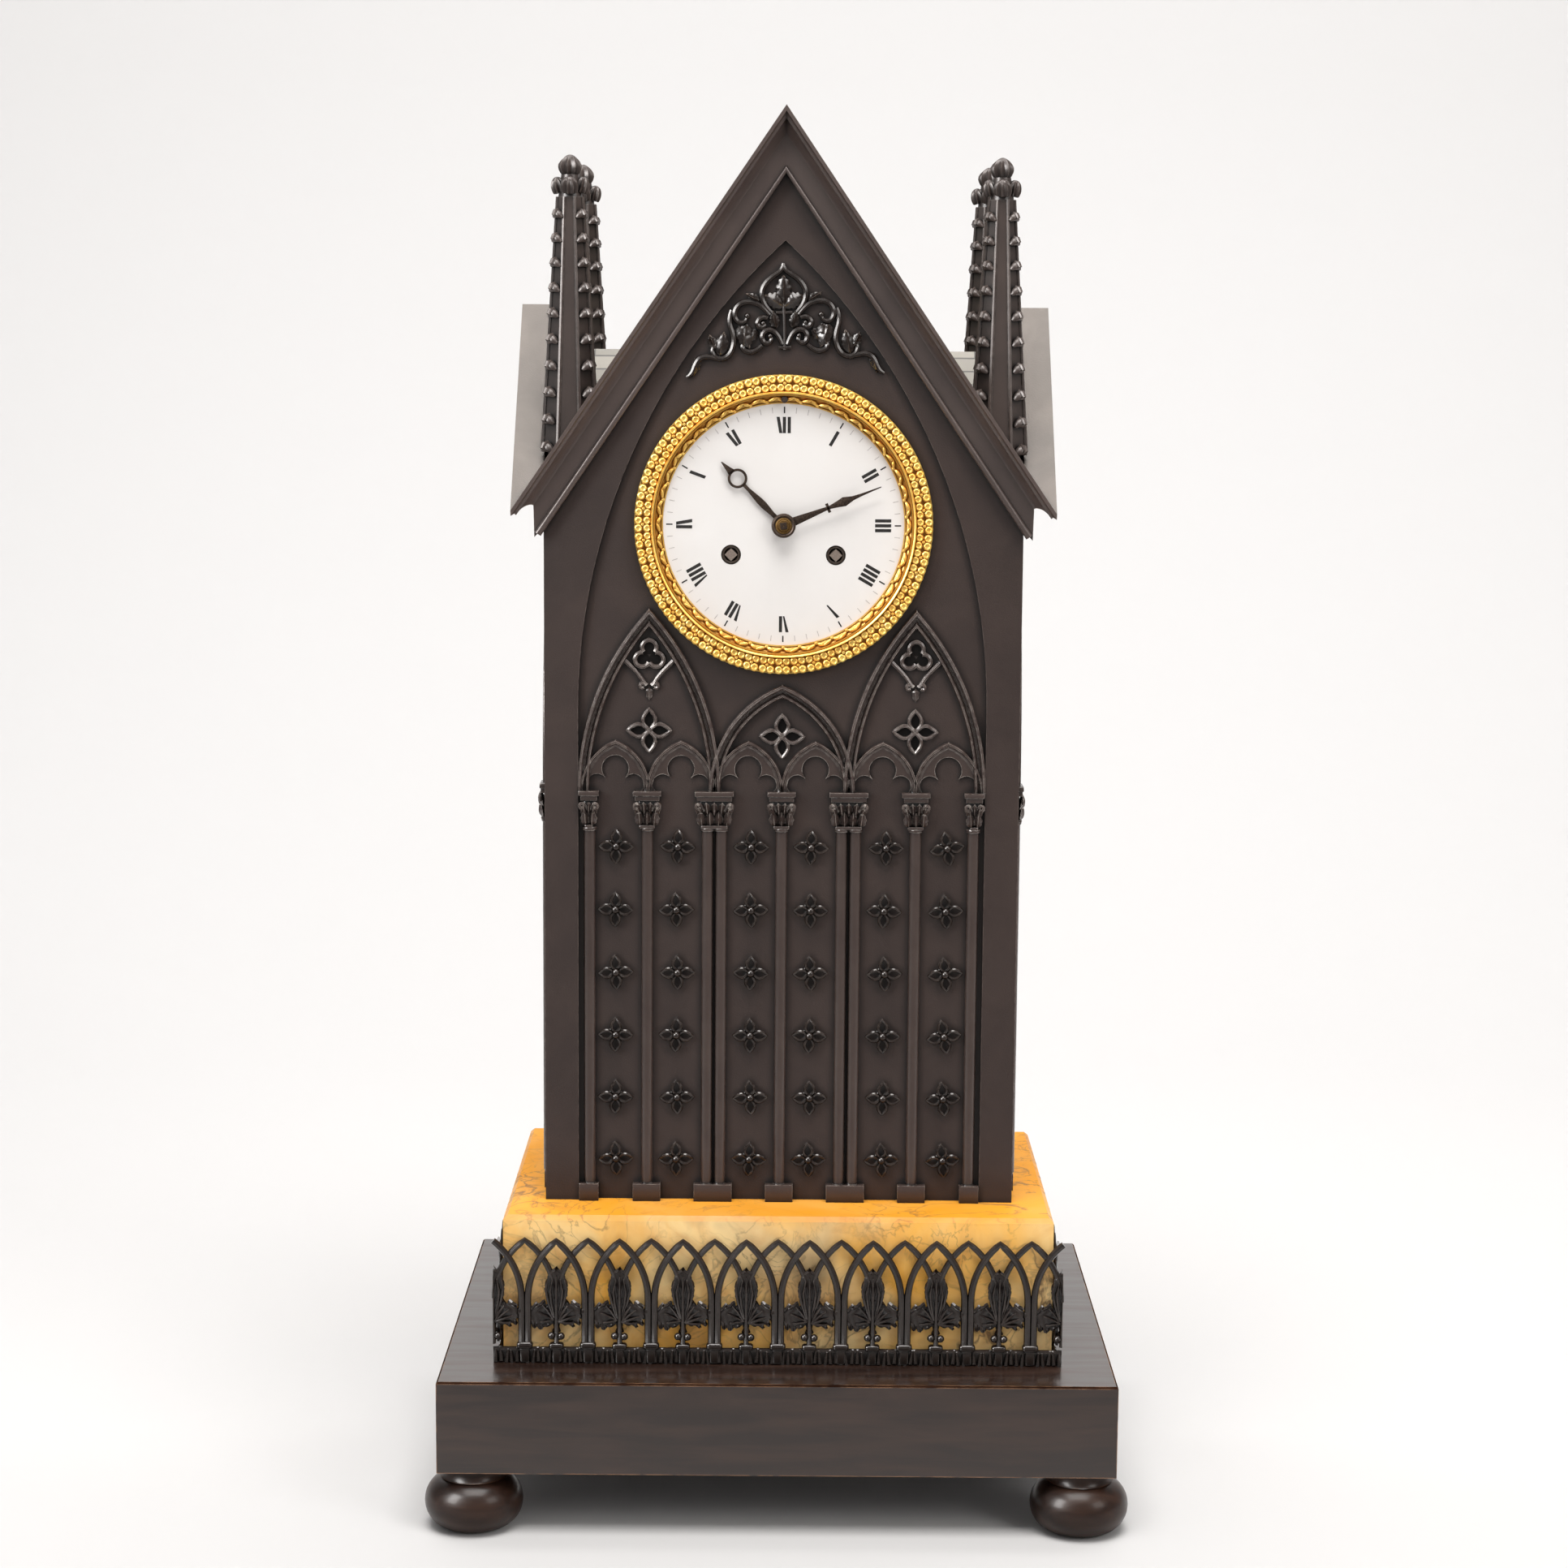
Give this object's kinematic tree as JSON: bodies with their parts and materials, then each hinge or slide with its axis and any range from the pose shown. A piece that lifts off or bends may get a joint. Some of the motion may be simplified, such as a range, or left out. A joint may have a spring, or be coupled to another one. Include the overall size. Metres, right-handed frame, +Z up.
{
  "type": "gothic mantel clock",
  "caption": "Gothic-revival mantel clock: gabled bronze case with corner pinnacles on a marble plinth with a pierced gallery, striking movement, pendulum and hinged back door.",
  "frame": {"origin": "centre of the bounding box at the underside of the bun feet", "axes": "+Z up along the clock's height; the dial faces -Y and +X is to the right as the dial is read"},
  "size_m": [0.278, 0.209, 0.5535],
  "materials": {
    "patinated_bronze": "satin dark brown patina, worn to copper on the edges",
    "ebonised_wood": "black-stained polished wood, rubbed to brown on the edges",
    "yellow_marble": "polished yellow marble with grey and brown veins",
    "gilt_bronze": "gilt, chased",
    "white_enamel": "glossy fired enamel",
    "blued_steel": "dark blued steel",
    "movement_brass": "fine brushed brass",
    "bell_metal": "turned bell metal",
    "silk": "twisted silk thread"
  },
  "bodies": {
    "case": {"base_slab": "ebonised_wood", "bun_feet": "ebonised_wood", "gallery_front": "patinated_bronze", "gallery_left": "patinated_bronze", "gallery_right": "patinated_bronze", "front_plate": "patinated_bronze", "front_panel": "patinated_bronze", "back_plate": "patinated_bronze", "left_plate": "patinated_bronze", "right_plate": "patinated_bronze", "corner_blocks": "patinated_bronze", "roof": "patinated_bronze", "cornice_front": "patinated_bronze", "cornice_back": "patinated_bronze", "cornice_left": "patinated_bronze", "cornice_right": "patinated_bronze", "pinnacles": "patinated_bronze", "arcade_columns": "patinated_bronze", "arcade_arches": "patinated_bronze", "tracery_foils": "patinated_bronze", "rosettes": "patinated_bronze", "gable_ornament": "patinated_bronze", "side_arcades": "patinated_bronze", "marble_plinth": "yellow_marble", "bezel": "gilt_bronze", "bezel_slip": "gilt_bronze", "rear_ring": "gilt_bronze", "door_pin": "gilt_bronze", "dial": "white_enamel", "dial_ring": "movement_brass", "movement_front_plate": "movement_brass", "movement_back_plate": "movement_brass", "plate_pillars": "movement_brass", "movement_straps": "movement_brass", "back_cock": "movement_brass", "bell_stand": "movement_brass", "bell": "bell_metal"},
    "minute_hand": {"minute_hand": "blued_steel", "hand_collet": "movement_brass", "cannon_pinion": "movement_brass"},
    "hour_hand": {"hour_hand": "blued_steel", "hour_wheel": "movement_brass"},
    "minute_wheel": {"minute_wheel": "movement_brass"},
    "escape_wheel": {"escape_wheel": "movement_brass"},
    "third_wheel": {"third_wheel": "movement_brass"},
    "centre_wheel": {"centre_wheel": "movement_brass"},
    "second_wheel": {"second_wheel": "movement_brass"},
    "going_barrel": {"going_barrel": "movement_brass"},
    "pin_wheel": {"pin_wheel": "movement_brass"},
    "strike_barrel": {"strike_barrel": "movement_brass"},
    "fly": {"fly": "movement_brass"},
    "going_arbor": {"going_arbor": "blued_steel"},
    "strike_arbor": {"strike_arbor": "blued_steel"},
    "anchor": {"anchor": "blued_steel"},
    "pendulum": {"pendulum_rod": "blued_steel", "pendulum_bob": "movement_brass", "suspension_silk": "silk"},
    "hammer": {"hammer": "blued_steel"},
    "regulator_arbor": {"regulator_arbor": "blued_steel"},
    "rear_door": {"rear_door": "gilt_bronze"}
  },
  "joints": [
    {"name": "minute_hand_turn", "type": "hinge", "parent": "case", "child": "minute_hand", "pos_m": [0, -0.0489, 0.393], "axis": [0, 1, 0], "continuous": true},
    {"name": "hour_hand_turn", "type": "hinge", "parent": "case", "child": "hour_hand", "pos_m": [0, -0.0466, 0.393], "axis": [0, 1, 0], "continuous": true},
    {"name": "minute_wheel_turn", "type": "hinge", "parent": "case", "child": "minute_wheel", "pos_m": [0, -0.0354, 0.381], "axis": [0, 1, 0], "continuous": true},
    {"name": "escape_wheel_turn", "type": "hinge", "parent": "case", "child": "escape_wheel", "pos_m": [0, -0.0104, 0.4155], "axis": [0, 1, 0], "continuous": true},
    {"name": "third_wheel_turn", "type": "hinge", "parent": "case", "child": "third_wheel", "pos_m": [-0.00238, -0.0194, 0.40476], "axis": [0, 1, 0], "continuous": true},
    {"name": "centre_wheel_turn", "type": "hinge", "parent": "case", "child": "centre_wheel", "pos_m": [0, -0.0303, 0.393], "axis": [0, 1, 0], "continuous": true},
    {"name": "second_wheel_turn", "type": "hinge", "parent": "case", "child": "second_wheel", "pos_m": [0.01181, -0.004, 0.40175], "axis": [0, 1, 0], "continuous": true},
    {"name": "going_barrel_turn", "type": "hinge", "parent": "case", "child": "going_barrel", "pos_m": [0.0205, -0.018, 0.3813], "axis": [0, 1, 0], "continuous": true},
    {"name": "pin_wheel_turn", "type": "hinge", "parent": "case", "child": "pin_wheel", "pos_m": [-0.02436, -0.004, 0.40318], "axis": [0, 1, 0], "continuous": true},
    {"name": "strike_barrel_turn", "type": "hinge", "parent": "case", "child": "strike_barrel", "pos_m": [-0.0205, -0.018, 0.3813], "axis": [0, 1, 0], "continuous": true},
    {"name": "fly_turn", "type": "hinge", "parent": "case", "child": "fly", "pos_m": [-0.02119, -0.019, 0.41501], "axis": [0, 1, 0], "continuous": true},
    {"name": "going_arbor_turn", "type": "hinge", "parent": "case", "child": "going_arbor", "pos_m": [0.0205, -0.045, 0.3813], "axis": [0, 1, 0], "continuous": true},
    {"name": "strike_arbor_turn", "type": "hinge", "parent": "case", "child": "strike_arbor", "pos_m": [-0.0205, -0.045, 0.3813], "axis": [0, 1, 0], "continuous": true},
    {"name": "anchor_rock", "type": "hinge", "parent": "case", "child": "anchor", "pos_m": [0, -0.0104, 0.4275], "axis": [0, 1, 0], "range_deg": [-4, 4]},
    {"name": "pendulum_swing", "type": "hinge", "parent": "case", "child": "pendulum", "pos_m": [0, 0.0092, 0.4275], "axis": [0, 1, 0], "range_deg": [-4, 4]},
    {"name": "hammer_lift", "type": "hinge", "parent": "case", "child": "hammer", "pos_m": [-0.034, 0.0061, 0.369], "axis": [0, -1, 0], "range_deg": [0, 12], "stiffness_Nm_per_rad": 0.02, "springref_deg": -17.19},
    {"name": "regulator_turn", "type": "hinge", "parent": "case", "child": "regulator_arbor", "pos_m": [0, -0.047, 0.4417], "axis": [0, 1, 0], "continuous": true},
    {"name": "rear_door_swing", "type": "hinge", "parent": "case", "child": "rear_door", "pos_m": [-0.056, 0.0578, 0.393], "axis": [0, 0, 1], "range_deg": [0, 110]}
  ],
  "couplings": [
    {"joint": "hour_hand_turn", "follows": "minute_hand_turn", "ratio": 0.083333},
    {"joint": "minute_wheel_turn", "follows": "minute_hand_turn", "ratio": -0.33333},
    {"joint": "third_wheel_turn", "follows": "escape_wheel_turn", "ratio": -0.1},
    {"joint": "centre_wheel_turn", "follows": "escape_wheel_turn", "ratio": 0.011111},
    {"joint": "second_wheel_turn", "follows": "escape_wheel_turn", "ratio": -0.0018519},
    {"joint": "going_barrel_turn", "follows": "escape_wheel_turn", "ratio": 0.0002924},
    {"joint": "strike_barrel_turn", "follows": "pin_wheel_turn", "ratio": -0.15789},
    {"joint": "fly_turn", "follows": "pin_wheel_turn", "ratio": -7.5},
    {"joint": "anchor_rock", "follows": "pendulum_swing", "ratio": 1}
  ]
}
